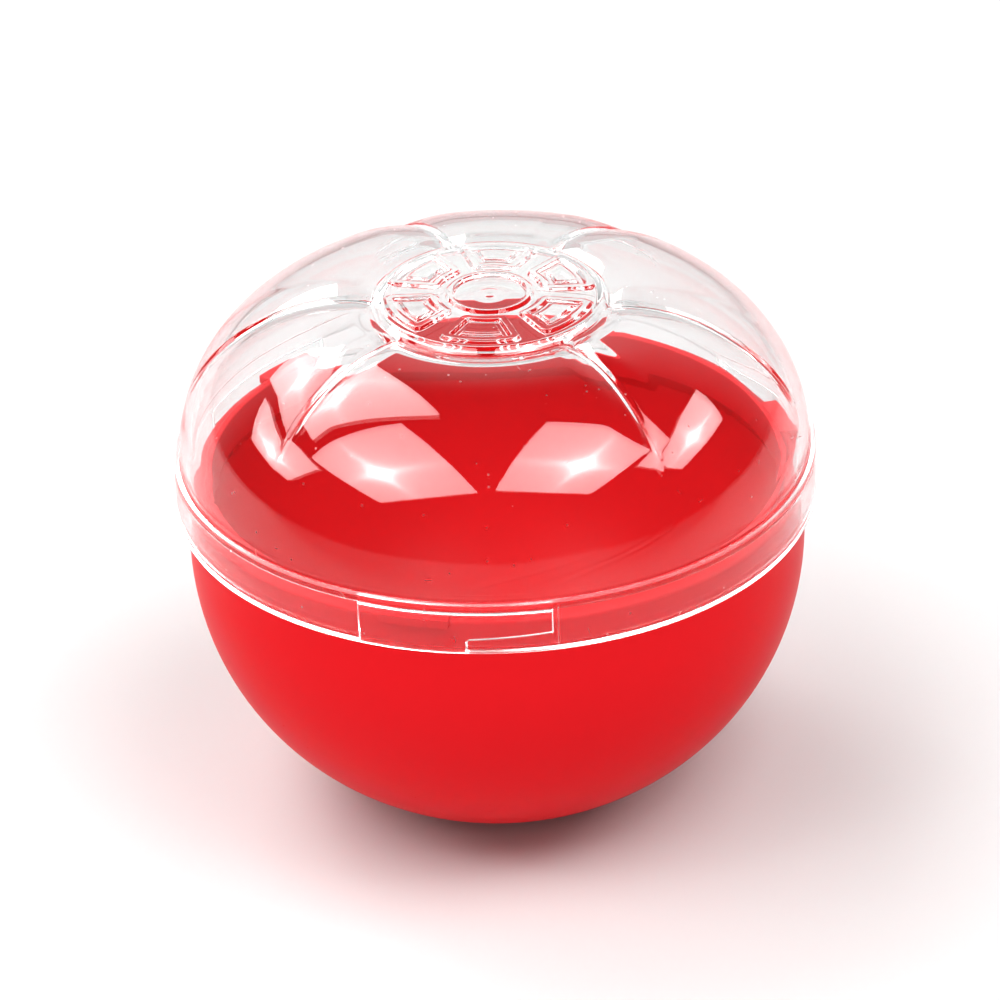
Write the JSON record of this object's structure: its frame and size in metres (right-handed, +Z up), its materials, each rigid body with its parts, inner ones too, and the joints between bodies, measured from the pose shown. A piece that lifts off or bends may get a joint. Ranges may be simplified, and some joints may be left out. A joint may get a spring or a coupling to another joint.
{
  "type": "twist-lock capsule shaker",
  "caption": "Round hand shaker: a red bowl, a clear lobed lid that locks by a bayonet twist and lifts off, and loose beads that rattle inside.",
  "frame": {"origin": "middle of the flat foot, at the lowest point of the bowl", "axes": "+Z up along the axis that the lid turns and lifts on, -Y towards the front, where the first bayonet pocket is"},
  "size_m": [0.075, 0.075, 0.0648],
  "materials": {
    "bowl": "glossy moulded plastic",
    "lid": "clear moulded polystyrene, polished",
    "bead": "satin moulded plastic"
  },
  "bodies": {
    "bowl": {"bowl": "bowl"},
    "centre_bead": {"bead_01": "bead"},
    "lid": {"lid": "lid"},
    "inner_beads": {"bead_02": "bead", "bead_03": "bead", "bead_04": "bead", "bead_05": "bead", "bead_06": "bead", "bead_07": "bead"},
    "outer_beads": {"bead_08": "bead", "bead_09": "bead", "bead_10": "bead", "bead_11": "bead", "bead_12": "bead", "bead_13": "bead", "bead_14": "bead", "bead_15": "bead", "bead_16": "bead", "bead_17": "bead", "bead_18": "bead", "bead_19": "bead"}
  },
  "joints": [
    {"name": "lid_twist", "type": "hinge", "parent": "bowl", "child": "centre_bead", "pos_m": [0, 0, 0.04], "axis": [0, 0, 1], "range_deg": [-18, 0]},
    {"name": "lid_lift", "type": "slide", "parent": "centre_bead", "child": "lid", "axis": [0, 0, 1], "range_m": [0, 0.07]},
    {"name": "inner_beads_hop", "type": "slide", "parent": "bowl", "child": "inner_beads", "axis": [0, 0, 1], "range_m": [0, 0.045]},
    {"name": "outer_beads_hop", "type": "slide", "parent": "bowl", "child": "outer_beads", "axis": [0, 0, 1], "range_m": [0, 0.03]}
  ]
}
